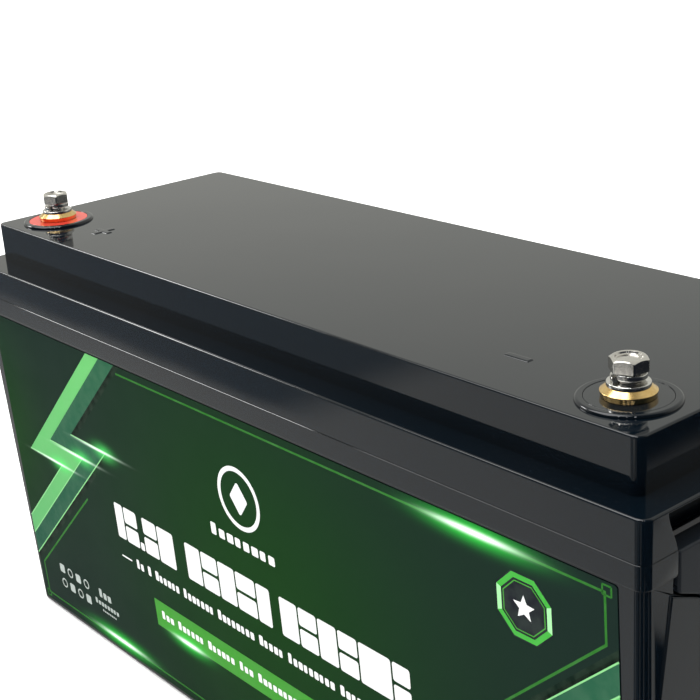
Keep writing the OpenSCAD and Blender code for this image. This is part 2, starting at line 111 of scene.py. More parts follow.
# Length, height and corner radius of the finger opening
OPENING = (94, 29, 6)
OPENING_DROP = 23.5
PIN_HOLE_R = 2.55
PIN_BOSS_REACH = 8.0
POCKET_DEPTH = 18.0
POCKET_GAP = 0.8
POCKET_WALL = 3.5
SCOOP_HALF = 47.0
SCOOP_Z = 124.0
SCOOP_RISE = 10.0

# Terminals
BOLT_FROM, BOLT_TO = corners("negative_bolt")
POST_X = (BOLT_FROM.x + BOLT_TO.x) / 2
POST_Y = (BOLT_FROM.y + BOLT_TO.y) / 2
BOLT_LOW, BOLT_HIGH = BOLT_FROM.z, BOLT_TO.z
HEAD_LOW = BOLT_HIGH - 5.3
HEX_FLATS = 13.0
HEX_CORNER_R = 7.38
SHANK_R = 4.0
DISC_LOW, DISC_HIGH = (corner.z for corner in corners("negative_disc"))
FLAT_LOW, FLAT_HIGH = (corner.z for corner in corners("negative_flat_washer"))
FLAT_R = 8.0
SPRING_R = 6.6
SPRING_T = 2.0
WASHER_BORE = 4.3
FLANGE_TOP = FLAT_LOW
POST_LOW = corners("negative_post")[0].z
POST_R = 8.0
BORE_R = 4.05
BORE_LOW = 229.3

# Label: its own plane follows the front wall
LABEL_HALF = 229.0
LABEL_LOW = 3.5
LABEL_H = 186.0
LABEL_TOP = LABEL_LOW + LABEL_H
LABEL_T = 0.4
STRIPE_SLOPE = 0.92
STRIPE_STEP = 37.0
# Twice the height of the centre that half_turn turns about
TURN_Z = 193.5


# ---------- outlines and meshes ----------


def polar(r, angle):
    """A point at radius r and an angle in degrees."""
    return r * math.cos(math.radians(angle)), r * math.sin(math.radians(angle))


def arc(cx, cy, r, start, end, steps):
    """Points of an arc, its angles in degrees."""
    turns = [math.radians(start + (end - start) * i / steps) for i in range(steps + 1)]
    return [(cx + r * math.cos(a), cy + r * math.sin(a)) for a in turns]


def rounded_rect(length, width, r, steps=10):
    """A rectangle around the origin with rounded corners."""
    points = []
    for sx, sy, start in ((1, -1, -90), (1, 1, 0), (-1, 1, 90), (-1, -1, 180)):
        points += arc(sx * (length / 2 - r), sy * (width / 2 - r), r, start, start + 90, steps)
    return points


def soften(points, radii, steps=5):
    """A closed outline with its corners rounded; radii is one radius or one for each corner."""
    count = len(points)
    radii = [radii] * count if isinstance(radii, (int, float)) else radii
    made = []
    for i, (point, r) in enumerate(zip(points, radii)):
        here = Vector(point)
        back = (Vector(points[i - 1]) - here).normalized()
        on = (Vector(points[(i + 1) % count]) - here).normalized()
        half = back.angle(on) / 2
        if r <= 0 or half > math.radians(89.5):
            made.append(point)
            continue
        reach = r / math.tan(half)
        start, end = here + back * reach, here + on * reach
        centre = here + (back + on).normalized() * (r / math.sin(half))
        first, last = start - centre, end - centre
        turn = first.angle_signed(last)
        for k in range(steps + 1):
            offset = Matrix.Rotation(-turn * k / steps, 2) @ first
            made.append(tuple(centre + offset))
    return made


def grown(points, amount):
    """A closed anticlockwise outline moved outwards by amount, corner by corner."""
    made = []
    for i, point in enumerate(points):
        here = Vector(point)
        before = (here - Vector(points[i - 1])).normalized()
        after = (Vector(points[(i + 1) % len(points)]) - here).normalized()
        first, second = Vector((before.y, -before.x)), Vector((after.y, -after.x))
        middle = (first + second).normalized()
        made.append(tuple(here + middle * (amount / max(middle.dot(first), 0.3))))
    return made


def loft(rings, closed=False):
    """A mesh through rings of equally many points, capped at both ends or, if closed, joined end to end."""
    bm = bmesh.new()
    made = [[bm.verts.new(p) for p in ring] for ring in rings]
    pairs = list(zip(made, made[1:])) + ([(made[-1], made[0])] if closed else [])
    for low, high in pairs:
        for i in range(len(low)):
            j = (i + 1) % len(low)
            bm.faces.new((low[i], low[j], high[j], high[i]))
    if not closed:
        bm.faces.new(list(reversed(made[0])))
        bm.faces.new(made[-1])
    return bm


def welded(bm):
    """The mesh with its coinciding points merged and needless slivers dropped."""
    bmesh.ops.remove_doubles(bm, verts=bm.verts, dist=1e-5)
    bmesh.ops.dissolve_degenerate(bm, edges=bm.edges, dist=1e-5)
    return bm


def revolve(profile, steps=96):
    """A closed solid of revolution about Z from a closed outline of (radius, height) points."""
    rings = []
    for k in range(steps):
        a = 2 * math.pi * k / steps
        rings.append([(r * math.cos(a), r * math.sin(a), z) for r, z in profile])
    return welded(loft(rings, closed=True))


def prism(outline, low, high, axis):
    """An outline extruded from low to high along an axis; it is (Y, Z), (X, Z) or (X, Y) for x, y or z."""
    index = "xyz".index(axis)
    return loft([[(*point[:index], w, *point[index:]) for point in outline] for w in (low, high)])


def place(bm, name, at=(0, 0, 0)):
    """Turns a mesh in millimetres into an object whose origin is at a point in millimetres."""
    bmesh.ops.recalc_face_normals(bm, faces=bm.faces)
    bmesh.ops.scale(bm, vec=(MM, MM, MM), verts=bm.verts)
    mesh = bpy.data.meshes.new(name)
    bm.to_mesh(mesh)
    bm.free()
    made = bpy.data.objects.new(name, mesh)
    made.location = Vector(at) * MM
    bpy.context.scene.collection.objects.link(made)
    return made


def combine(target, tool, operation):
    """Cuts tool from target, or joins it on, and removes tool."""
    modifier = target.modifiers.new("combine", "BOOLEAN")
    modifier.object, modifier.operation, modifier.solver = tool, operation, "EXACT"
    graph = bpy.context.evaluated_depsgraph_get()
    mesh = bpy.data.meshes.new_from_object(target.evaluated_get(graph))
    target.modifiers.clear()
    target.data = mesh
    bpy.data.objects.remove(tool)


def cut(target, bm):
    combine(target, place(bm, "tool"), "DIFFERENCE")


def join(target, bm):
    combine(target, place(bm, "tool"), "UNION")


def merge_slivers(made):
    """Merges the coplanar slivers that cutting leaves."""
    bm = bmesh.new()
    bm.from_mesh(made.data)
    bmesh.ops.remove_doubles(bm, verts=bm.verts, dist=1e-6)
    bmesh.ops.dissolve_limit(bm, angle_limit=math.radians(0.05), verts=bm.verts, edges=bm.edges)
    bmesh.ops.recalc_face_normals(bm, faces=bm.faces)
    bm.to_mesh(made.data)
    bm.free()


def smooth(made, bevel=0.0, steps=3, where=None, angle=30):
    """Smooth shading with crisp corners; sharp edges whose middle passes the test where are rounded."""
    bm = bmesh.new()
    bm.from_mesh(made.data)
    layer = bm.edges.layers.float.new("bevel_weight_edge")
    for face in bm.faces:
        face.smooth = True
    for edge in bm.edges:
        if len(edge.link_faces) == 2 and edge.calc_face_angle(0) > math.radians(angle):
            middle = (edge.verts[0].co + edge.verts[1].co) / 2 / MM
            rounded = bevel > 0 and (where is None or where(middle))
            edge[layer] = 1.0 if rounded else 0.0
            edge.smooth = rounded
    bm.to_mesh(made.data)
    bm.free()
    if bevel:
        modifier = made.modifiers.new("rounded edges", "BEVEL")
        modifier.width, modifier.segments = bevel * MM, steps
        modifier.use_clamp_overlap = False
        modifier.limit_method = "WEIGHT"
    weighted = made.modifiers.new("flat faces", "WEIGHTED_NORMAL")
    weighted.weight, weighted.keep_sharp = 100, True
    return made


# ---------- materials ----------


class Paint:
    """A material and the nodes that feed its shader."""

    def __init__(self, name):
        self.material = bpy.data.materials.new(name)
        self.material.use_nodes = True
        self.tree = self.material.node_tree
        self.shader = self.tree.nodes["Principled BSDF"]
        self.place = self.add("ShaderNodeTexCoord").outputs["Object"]

    def add(self, kind, inputs=None, **settings):
        node = self.tree.nodes.new(kind)
        for key, value in settings.items():
            setattr(node, key, value)
        for socket, value in (inputs or {}).items():
            self.feed(node.inputs[socket], value)
        return node

    def feed(self, socket, value):
        if isinstance(value, bpy.types.NodeSocket):
            self.tree.links.new(value, socket)
        else:
            socket.default_value = value

    def math(self, operation, a, b=0.0, clamp=False):
        return self.add("ShaderNodeMath", {0: a, 1: b}, operation=operation, use_clamp=clamp).outputs[0]

    def mix(self, share, a, b):
        inputs = {0: share, 6: rgba(a), 7: rgba(b)}
        return self.add("ShaderNodeMix", inputs, data_type="RGBA").outputs[2]

    def noise(self, scale, detail=3.0, stretch=(1, 1, 1)):
        moved = self.add("ShaderNodeMapping", {"Vector": self.place, "Scale": stretch}).outputs[0]
        inputs = {"Vector": moved, "Scale": scale, "Detail": detail}
        return self.add("ShaderNodeTexNoise", inputs).outputs[0]

    def between(self, value, low, high, start=0.35, end=0.65):
        inputs = {"Value": value, "From Min": start, "From Max": end, "To Min": low, "To Max": high}
        return self.add("ShaderNodeMapRange", inputs).outputs[0]

    def bump(self, height, distance, strength=1.0, under=None):
        inputs = {"Height": height, "Distance": distance, "Strength": strength}
        if under is not None:
            inputs["Normal"] = under
        return self.add("ShaderNodeBump", inputs).outputs[0]

    def axes(self, wanted):
        """The wanted coordinates, such as "XZ", of the place on the piece, in millimetres."""
        inputs = {0: self.place, "Scale": 1 / MM}
        scaled = self.add("ShaderNodeVectorMath", inputs, operation="SCALE").outputs[0]
        split = self.add("ShaderNodeSeparateXYZ", {0: scaled})
        return [split.outputs[letter] for letter in wanted]

    def hill(self, value, centre, width):
        """1 at the centre, falling off on both sides as a bell curve of that width."""
        away = self.math("DIVIDE", self.math("SUBTRACT", value, centre), width)
        return self.math("EXPONENT", self.math("MULTIPLY", self.math("MULTIPLY", away, away), -1.0))

    def set(self, **sockets):
        for name, value in sockets.items():
            self.feed(self.shader.inputs[name.replace("_", " ")], value)
        return self.material


def rgba(colour):
    return (*colour, 1.0) if isinstance(colour, tuple) and len(colour) == 3 else colour


def plain(name, light, dark, rough=(0.3, 0.5), metal=0.0, grain=400.0, relief=0.00002, coat=0.0,
          stretch=(1, 1, 1)):
    """A finish with uneven colour, uneven roughness and a fine relief."""
    paint = Paint(name)
    broad, fine = paint.noise(grain / 20), paint.noise(grain, 4.0, stretch)
    tone = paint.mix(paint.between(broad, 0.0, 1.0), light, dark)
    roughness = paint.between(paint.mix(0.5, broad, fine), rough[0], rough[1])
    normal = paint.bump(fine, relief)
    return paint.set(Base_Color=tone, Roughness=roughness, Normal=normal, Metallic=metal,
                     Coat_Weight=coat)


def gloss_black():
    """Polished black moulding: nearly mirror smooth, with a faint flow in the surface and fine dust."""
    paint = Paint("gloss_black_moulding")
    flow, fine = paint.noise(9.0, 2.0), paint.noise(2600.0, 2.0)
    dust = paint.noise(700.0, 6.0)
    tone = paint.mix(paint.between(flow, 0.0, 1.0), (0.0009, 0.0028, 0.0050), (0.0020, 0.0036, 0.0056))
    tone = paint.mix(paint.between(dust, 0.0, 0.25, 0.62, 0.8), tone, (0.02, 0.021, 0.023))
    flow_roughness = paint.between(flow, 0.03, 0.05)
    roughness = paint.math("ADD", flow_roughness, paint.between(dust, 0.0, 0.05, 0.55, 0.8))
    normal = paint.bump(flow, 0.0006, 0.35)
    normal = paint.bump(fine, 0.000004, 0.5, normal)
    return paint.set(Base_Color=tone, Roughness=roughness, Normal=normal, IOR=1.5)


def satin_black():
    """Handle plastic: dark and softly grained."""
    paint = Paint("satin_black_moulding")
    grain, broad = paint.noise(1800.0, 3.0), paint.noise(22.0, 3.0)
    tone = paint.mix(paint.between(broad, 0.0, 1.0), (0.007, 0.010, 0.014), (0.012, 0.015, 0.019))
    roughness = paint.between(paint.mix(0.6, grain, broad), 0.34, 0.46)
    normal = paint.bump(grain, 0.000012, 0.4)
    return paint.set(Base_Color=tone, Roughness=roughness, Normal=normal, IOR=1.4)


def turned_metal(name, light, dark, rough):
    """Metal turned on a lathe: fine rings around the piece's own axis, with a slightly uneven tone."""
    paint = Paint(name)
    flat = paint.add("ShaderNodeVectorMath", {0: paint.place, 1: (1, 1, 0)}, operation="MULTIPLY")
    radius = paint.add("ShaderNodeVectorMath", {0: flat.outputs[0]}, operation="LENGTH").outputs[1]
    height = paint.axes("Z")[0]
    along = paint.math("ADD", paint.math("MULTIPLY", radius, 1 / MM), height)
    inputs = {"W": paint.math("MULTIPLY", along, 9.0), "Scale": 1.0}
    rings = paint.add("ShaderNodeTexNoise", inputs, noise_dimensions="1D").outputs[0]
    stain = paint.noise(260.0, 4.0)
    tone = paint.mix(paint.between(stain, 0.0, 1.0), light, dark)
    roughness = paint.between(paint.mix(0.5, rings, stain), rough[0], rough[1])
    normal = paint.bump(rings, 0.000006)
    return paint.set(Base_Color=tone, Metallic=1.0, Roughness=roughness, Normal=normal)


def foam(name, colour):
    """Open-celled foam, darker in its cells."""
    paint = Paint(name)
    cells = paint.add("ShaderNodeTexVoronoi", {"Vector": paint.place, "Scale": 900.0}).outputs[0]
    shade = tuple(c * 0.5 for c in colour)
    tone = paint.mix(paint.between(cells, 0.0, 1.0, 0.1, 0.7), colour, shade)
    return paint.set(Base_Color=tone, Roughness=0.95, Normal=paint.bump(cells, 0.0003), Sheen_Weight=0.3)


def board(name, mask, copper):
    """A circuit board: solder mask over faint tracks."""
    paint = Paint(name)
    black, white = (0, 0, 0, 1), (1, 1, 1, 1)
    inputs = {"Vector": paint.place, "Scale": 90.0, "Mortar Size": 0.04,
              "Color1": black, "Color2": black, "Mortar": white}
    tracks = paint.add("ShaderNodeTexBrick", inputs).outputs[0]
    tone = paint.mix(tracks, mask, copper)
    shade = tuple(c * 0.6 for c in mask)
    tone = paint.mix(paint.between(paint.noise(60.0), 0.0, 0.4), tone, shade)
    return paint.set(Base_Color=tone, Roughness=0.32, Normal=paint.bump(tracks, 0.00004), Coat_Weight=0.3)


# ---------- glows shared by everything printed on the label ----------

# Centre (x, height along the wall) and half length of each streak
STREAKS = ((160.0, 185.3, 26.0), (-138.0, 9.4, 26.0), (-63.0, 39.6, 15.0))
# Centre of each spark where the stripe turns
SPARKS = ((-123.0, 132.8), (-149.0, 121.4), (-176.0, 109.3))
STREAK_GREEN, STREAK_WHITE = (0.03, 0.62, 0.06), (0.86, 1.0, 0.88)
SPARK_GREEN, SPARK_WHITE = (0.08, 0.75, 0.14), (0.8, 1.0, 0.82)


def glow(paint, spot, centre, reach):
    """A soft oval patch of light, its reach given along and across the label."""
    along, across = (paint.hill(*values) for values in zip(spot, centre, reach))
    return paint.math("MULTIPLY", along, across)


def lit(paint, tone):
    """The printed tone with the label's streaks and sparks over it."""
    spot = paint.axes("XZ")
    for x, z, reach in STREAKS:
        halo = glow(paint, spot, (x, z), (reach * 0.95, 4.2))
        core = glow(paint, spot, (x, z), (reach * 0.7, 1.25))
        tone = paint.mix(paint.math("MULTIPLY", halo, 0.75, True), tone, STREAK_GREEN)
        tone = paint.mix(paint.math("MULTIPLY", core, 1.25, True), tone, STREAK_WHITE)
    for x, z in SPARKS:
        halo = glow(paint, spot, (x, z), (9.0, 4.0))
        core = glow(paint, spot, (x - 6, z), (17.0, 0.75))
        tone = paint.mix(paint.math("MULTIPLY", halo, 0.55, True), tone, SPARK_GREEN)
        tone = paint.mix(paint.math("MULTIPLY", core, 0.9, True), tone, SPARK_WHITE)
    return tone


def label_film():
    """Printed vinyl: deep teal-green with a soft green glow in the middle and at the left edge."""
    paint = Paint("printed_film")
    spot = paint.axes("XZ")
    middle = glow(paint, spot, (12.0, 92.0), (128.0, 118.0))
    left = glow(paint, spot, (-246.0, 116.0), (52.0, 62.0))
    share = paint.math("ADD", middle, left, True)
    tone = lit(paint, paint.mix(share, (0.0080, 0.0180, 0.0148), (0.0052, 0.0350, 0.0056)))
    roughness = paint.between(paint.noise(40.0), 0.34, 0.42)
    normal = paint.bump(paint.noise(900.0, 3.0), 0.000006)
    return paint.set(Base_Color=tone, Roughness=roughness, Normal=normal, Specular_IOR_Level=0.02)


def ink(name, colour, low_colour=None):
    """Printing ink; it fades into the second colour towards the label's foot."""
    paint = Paint(name)
    tone = rgba(colour)
    if low_colour:
        height = paint.axes("Z")[0]
        tone = paint.mix(paint.between(height, 0.0, 1.0, 20.0, 190.0), low_colour, colour)
    tone = paint.mix(paint.between(paint.noise(150.0), 0.0, 0.06), tone, (0.2, 0.3, 0.2))
    roughness = paint.between(paint.noise(500.0), 0.34, 0.44)
    return paint.set(Base_Color=lit(paint, tone), Roughness=roughness, Specular_IOR_Level=0.02)


LOOKS = {
    "case_plastic": gloss_black(),
    "handle_plastic": satin_black(),
    "label_film": label_film(),
    "red_plastic": plain(
        "red_moulding", (0.47, 0.04, 0.026), (0.40, 0.032, 0.02), (0.04, 0.08), grain=300, relief=2e-6),
    "disc_plastic": plain(
        "black_disc", (0.002, 0.004, 0.006), (0.004, 0.006, 0.008), (0.03, 0.06), relief=2e-6),
    "post_brass": turned_metal("turned_brass", (0.83, 0.60, 0.27), (0.70, 0.47, 0.18), (0.12, 0.24)),
    "stainless_bolt": plain(
        "bright_stainless", (0.70, 0.68, 0.64), (0.52, 0.50, 0.47), (0.12, 0.30), 1.0, 900, 4e-5),
    "washer_steel": turned_metal(
        "washer_stainless", (0.72, 0.71, 0.68), (0.60, 0.59, 0.57), (0.12, 0.24)),
    "pin_steel": plain("plated_steel", (0.62, 0.62, 0.61), (0.5, 0.5, 0.5), (0.22, 0.36), 1.0, 600, 1e-5),
    "seal_rubber": plain("black_rubber", (0.02, 0.02, 0.021), (0.03, 0.03, 0.03), (0.6, 0.8), grain=500),
    "copper": plain("bare_copper", (0.78, 0.38, 0.22), (0.62, 0.28, 0.15), (0.22, 0.38), 1.0, 500, 1e-5),
    "cell_film": plain(
        "blue_cell_film", (0.015, 0.12, 0.42), (0.012, 0.09, 0.34), (0.25, 0.38), grain=200, coat=0.4),
    "cell_aluminium": plain(
        "brushed_aluminium", (0.76, 0.77, 0.78), (0.66, 0.67, 0.68), (0.25, 0.4), 1.0, 500, 1e-5,
        stretch=(0.04, 1, 1)),
    "insulation_sheet": plain(
        "glass_epoxy_sheet", (0.72, 0.66, 0.42), (0.62, 0.56, 0.34), (0.4, 0.55), grain=700),
    "foam": foam("dark_foam", (0.06, 0.062, 0.068)),
    "circuit_board": board("green_board", (0.008, 0.13, 0.035), (0.05, 0.30, 0.08)),
    "module_board": board("blue_board", (0.008, 0.06, 0.22), (0.04, 0.18, 0.42)),
    "chip_plastic": plain(
        "component_black", (0.018, 0.018, 0.019), (0.03, 0.03, 0.03), (0.45, 0.6), grain=900),
    "connector_plastic": plain(
        "white_nylon", (0.80, 0.77, 0.68), (0.72, 0.69, 0.6), (0.35, 0.5), grain=500),
    "foam_tape": foam("white_foam", (0.78, 0.78, 0.76)),
    "red_insulation": plain(
        "red_silicone", (0.48, 0.02, 0.012), (0.38, 0.016, 0.01), (0.35, 0.5), grain=300),
    "black_insulation": plain(
        "black_silicone", (0.015, 0.015, 0.016), (0.025, 0.025, 0.026), (0.35, 0.5), grain=300),
}

for part in frame["record"]["subparts"]:
    node = frame["nodes"][part["node"]]
    node.data.materials.clear()
    node.data.materials.append(LOOKS[part["material_slot"]])


def piece(made, body, slot, *nodes, material=None):
    """Gives a new piece its finish, its body and the CAD nodes that it stands for."""
    made.data.materials.clear()
    made.data.materials.append(material or LOOKS[slot])
    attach(made, body)
    if nodes:
        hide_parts(*nodes)
    return made


# ---------- case ----------


def wall_insets(z):
    """How far the end and side walls stand in from the collar at a height."""
    share = (COLLAR_Z - z) / COLLAR_Z
    return WALL_INSET + (END_INSET - WALL_INSET) * share, WALL_INSET + (SIDE_INSET - WALL_INSET) * share


def case_ring(z, end, side, r):
    """A level ring of the case, its ends and sides drawn in from the collar by end and side."""
    outline = rounded_rect(2 * (HALF_L - end), 2 * (HALF_W - side), max(r, 0.3))
    return [(x, y, z) for x, y in outline]


def case_outside():
    """The drafted walls, the rounded base edge and the collar, as one closed solid."""
    rings = []
    for step in range(6):
        angle = math.radians(90 * step / 5)
        z, more = BASE_EDGE * (1 - math.cos(angle)), BASE_EDGE * (1 - math.sin(angle))
        end, side = wall_insets(z)
        rings.append(case_ring(z, end + more, side + more, WALL_CORNER_R - more))
    root, edge = 0.4, 0.8
    wall_top = COLLAR_Z - 0.5
    rings.append(case_ring(wall_top, *wall_insets(wall_top), CORNER_R))
    for inset, z in arc(WALL_INSET - root, COLLAR_Z - root, root, 0, 90, 4)[1:]:
        rings.append(case_ring(z, inset, inset, CORNER_R))
    for inset, z in arc(edge, COLLAR_Z + edge, edge, -90, -180, 6):
        rings.append(case_ring(z, inset, inset, CORNER_R))
    rings.append(case_ring(SEAM_Z - MOUTH_CHAMFER, 0, 0, CORNER_R))
    rings.append(case_ring(SEAM_Z, MOUTH_CHAMFER, MOUTH_CHAMFER, CORNER_R - MOUTH_CHAMFER))
    return loft(rings)


def both_halves(half):
    """A closed outline from its half at positive Y."""
    return half + [(-y, z) for y, z in reversed(half)]


def handle_outline(gap):
    """Outline of a hanging handle around its pivot, (Y, Z), grown by gap."""
    half = [(HANDLE_HALF + gap, BARREL_R + 8 * gap), (HANDLE_HALF + gap, -SHOULDER_DROP - gap),
            (NECK_HALF + gap, -NECK_DROP - gap), (FOOT_HALF + gap, -HANDLE_DROP - gap)]
    return both_halves(half)


def lifted(outline):
    """A (Y, Z) outline around the handle's pivot, moved to the pivot's height."""
    return [(y, z + PIVOT_Z) for y, z in outline]


def mirrored(bm, side):
    """The mesh, or its mirror image in X for the other end."""
    if side < 0:
        bmesh.ops.scale(bm, vec=(-1, 1, 1), verts=bm.verts)
        bmesh.ops.reverse_faces(bm, faces=bm.faces)
    return bm


def pocket(grow, mouth=2.0):
    """The space that a handle hangs in, grown by the wall around it where that is wanted."""
    outline = soften(lifted(handle_outline(POCKET_GAP + grow)), [0, 1.5, 1.5, 4, 4, 1.5, 1.5, 0])
    return prism(outline, HALF_L - POCKET_DEPTH - grow, HALF_L + mouth, "x")


def scoop(grow, mouth=2.0):
    """The finger space under a handle, its floor sloping outwards."""
    top, floor = PIVOT_Z - HANDLE_DROP + 6, SCOOP_Z - grow
    back, front = HALF_L - POCKET_DEPTH - grow, HALF_L + mouth
    outline = [(back, top), (back, floor + SCOOP_RISE), (front, floor), (front, top)]
    half = SCOOP_HALF + grow
    return prism(outline, -half, half, "y")


def end_panel():
    """The low raised panel on an end wall, its face following the draft."""
    outline = both_halves(PANEL_CORNERS)
    rings = []
    for offset in (-PANEL_ROOT, PANEL_PROUD):
        rings.append([(HALF_L - wall_insets(z)[0] + offset, y, z) for y, z in outline])
    return loft(rings)


def case_inside():
    """The cavity, less the pocket walls, scoop walls and pin bosses that stand in it."""
    land, inside_r = WALL_INSET + WALL, CORNER_R - WALL
    rings = [case_ring(FLOOR_T, END_INSET + WALL, SIDE_INSET + WALL, inside_r),
             case_ring(SEAM_Z + 1, land, land, inside_r)]
    cavity = place(loft(rings), "cavity")
    for side in SIDES:
        cut(cavity, mirrored(pocket(POCKET_WALL, 0.5), side))
        cut(cavity, mirrored(scoop(POCKET_WALL, 0.5), side))
        for half in SIDES:
            x, y = side * (PIVOT_X - 1), half * (HANDLE_HALF + 5.5)
            boss = [(x + u, y + v) for u, v in rounded_rect(12, 9, 0.5, 2)]
            cut(cavity, prism(boss, PIVOT_Z - PIN_BOSS_REACH, PIVOT_Z + PIN_BOSS_REACH, "z"))
    return cavity


def pin_hole(side, half):
    """The hole for one hinge pin, through the boss and into the handle's barrel."""
    ends = sorted((half * (HANDLE_HALF - 8), half * (HANDLE_HALF + 7.2)))
    return prism(arc(side * PIVOT_X, PIVOT_Z, PIN_HOLE_R, 0, 350, 35), *ends, "y")


def build_case():
    case = place(case_outside(), "case_shell")
    for side in SIDES:
        join(case, mirrored(end_panel(), side))
    combine(case, case_inside(), "DIFFERENCE")
    for side in SIDES:
        cut(case, mirrored(pocket(0), side))
        cut(case, mirrored(scoop(0), side))
        for half in SIDES:
            cut(case, pin_hole(side, half))
    merge_slivers(case)

    def rounded(p):
        at_end = abs(p.x) > HALF_L - POCKET_DEPTH - 0.5 and abs(p.y) < NOTCH_TOP
        at_pin = abs(p.z - PIVOT_Z) < 2.7 and abs(p.y) > HANDLE_HALF
        return at_end and 3 < p.z < SEAM_Z - 0.1 and not at_pin

    smooth(case, 0.6, 3, rounded)
    return piece(case, "battery", "case_plastic", "container")


# ---------- lid ----------


def lid_outside():
    """Skirt, ledge and raised slab with their rounded edges, as one closed solid."""
    edge, brow = 1.0, 0.9
    rings = [case_ring(SEAM_Z, SKIRT_CHAMFER, SKIRT_CHAMFER, CORNER_R - SKIRT_CHAMFER),
             case_ring(SEAM_Z + SKIRT_CHAMFER, 0, 0, CORNER_R)]
    for inset, z in arc(edge, LEDGE_Z - edge, edge, 180, 90, 6):
        rings.append(case_ring(z, inset, inset, CORNER_R - inset))
    rings.append(case_ring(LEDGE_Z, LEDGE, LEDGE, SLAB_R))
    for inset, z in arc(LEDGE + brow, TOP_Z - brow, brow, 180, 90, 6):
        rings.append(case_ring(z, inset, inset, SLAB_R - (inset - LEDGE)))
    return loft(rings)


def notch(grow):
    """The recess in the skirt that a handle turns in, under a rim; its sides lean out in a curve."""
    steps, full = 12, LEDGE_Z - SEAM_Z
    height = full - NOTCH_RIM + grow
    half = [(NOTCH_FOOT + grow, SEAM_Z - 2)]
    for step in range(steps + 1):
        z = height * step / steps
        lean = math.sin(math.radians(90 * min(z / full, 1)**1.4))
        half.append((NOTCH_FOOT + (NOTCH_TOP - NOTCH_FOOT) * lean + grow, SEAM_Z + z))
    return prism(both_halves(half), HALF_L - LEDGE - grow, HALF_L + 3, "x")


def lid_inside():
    """The hollow under the lid, less the notch walls, pocket covers and terminal bosses."""
    slab, under_ledge = LEDGE + WALL, LEDGE_Z - WALL
    rings = [case_ring(SEAM_Z - 1, WALL, WALL, CORNER_R - WALL),
             case_ring(under_ledge, WALL, WALL, CORNER_R - WALL),
             case_ring(under_ledge, slab, slab, SLAB_R),
             case_ring(TOP_Z - WALL - 0.5, slab, slab, SLAB_R)]
    cavity = place(loft(rings), "cavity")
    back, front = HALF_L - POCKET_DEPTH - POCKET_WALL, HALF_L + 1
    half = NOTCH_TOP + WALL
    cover = [(back, -half), (front, -half), (front, half), (back, half)]
    for side in SIDES:
        cut(cavity, mirrored(notch(WALL), side))
        cut(cavity, mirrored(prism(cover, SEAM_Z - 2, SEAM_Z + WALL, "z"), side))
        boss = arc(side * POST_X, POST_Y, POST_BOSS_R, 0, 352.5, 47)
        cut(cavity, prism(boss, POST_BOSS_LOW, TOP_Z + 1, "z"))
    return cavity


def at_post(bm, side):
    """The mesh moved from the origin's axis to one terminal's axis."""
    bmesh.ops.translate(bm, vec=(side * POST_X, POST_Y, 0), verts=bm.verts)
    return bm


def raised_mark(outline, x, y):
    """A soft moulded mark on the top face."""
    levels = ((-1.0, 0.55), (0.0, 0.5), (0.28, 0.22), (0.42, -0.1), (0.46, -0.45))
    rings = []
    for z, grow in levels:
        rings.append([(x + u, y + v, TOP_Z + z) for u, v in soften(grown(outline, grow), 0.5, 3)])
    return loft(rings)


def build_lid():
    lid = place(lid_outside(), "lid_shell")
    arm, bar = 6.0, 1.4
    plus = [(bar, -arm), (bar, -bar), (arm, -bar), (arm, bar), (bar, bar), (bar, arm),
            (-bar, arm), (-bar, bar), (-arm, bar), (-arm, -bar), (-bar, -bar), (-bar, -arm)]
    minus = [(-arm, -bar), (arm, -bar), (arm, bar), (-arm, bar)]
    join(lid, raised_mark(plus, *PLUS_AT))
    join(lid, raised_mark(minus, *MINUS_AT))
    foot, crown = TOP_Z + 0.1, RING_TOP - TOP_Z - 0.1
    ring = [(0, TOP_Z - 1), (RING_R, TOP_Z - 1), (RING_R, foot)]
    ring += arc(RING_R - crown, foot, crown, 0, 90, 8)[1:] + [(0, RING_TOP)]
    for side in SIDES:
        join(lid, at_post(revolve(ring), side))
    combine(lid, lid_inside(), "DIFFERENCE")
    lip, above = 0.35, RING_TOP + 2
    recess = [(0, DISC_LOW), (DISC_R, DISC_LOW)]
    recess += arc(DISC_R + lip, RING_TOP - lip, lip, 180, 90, 4) + [(DISC_R + lip, above), (0, above)]
    hole = [(0, SEAM_Z - 1), (HOLE_R, SEAM_Z - 1), (HOLE_R, above + 1), (0, above + 1)]
    for side in SIDES:
        cut(lid, mirrored(notch(0), side))
        cut(lid, at_post(revolve(recess), side))
        cut(lid, at_post(revolve(hole, 64), side))
    merge_slivers(lid)

    def rounded(p):
        in_notch = abs(p.x) > HALF_L - LEDGE + 0.5 and abs(p.y) < NOTCH_TOP + 1
        return in_notch and p.z > SEAM_Z + 0.5

    smooth(lid, 0.5, 3, rounded)
    return piece(lid, "battery", "case_plastic", "lid")


# ---------- handles ----------


def corner_cutter():
    """Takes the barrel's underside away, so that the plate's own outline shows below it."""
    half, low, high = HANDLE_HALF + 1, -20, -8
    outline = lifted([(-half, low), (half, low), (half, high), (-half, high)])
    return prism(outline, PIVOT_X - 12, PIVOT_X + 12, "x")


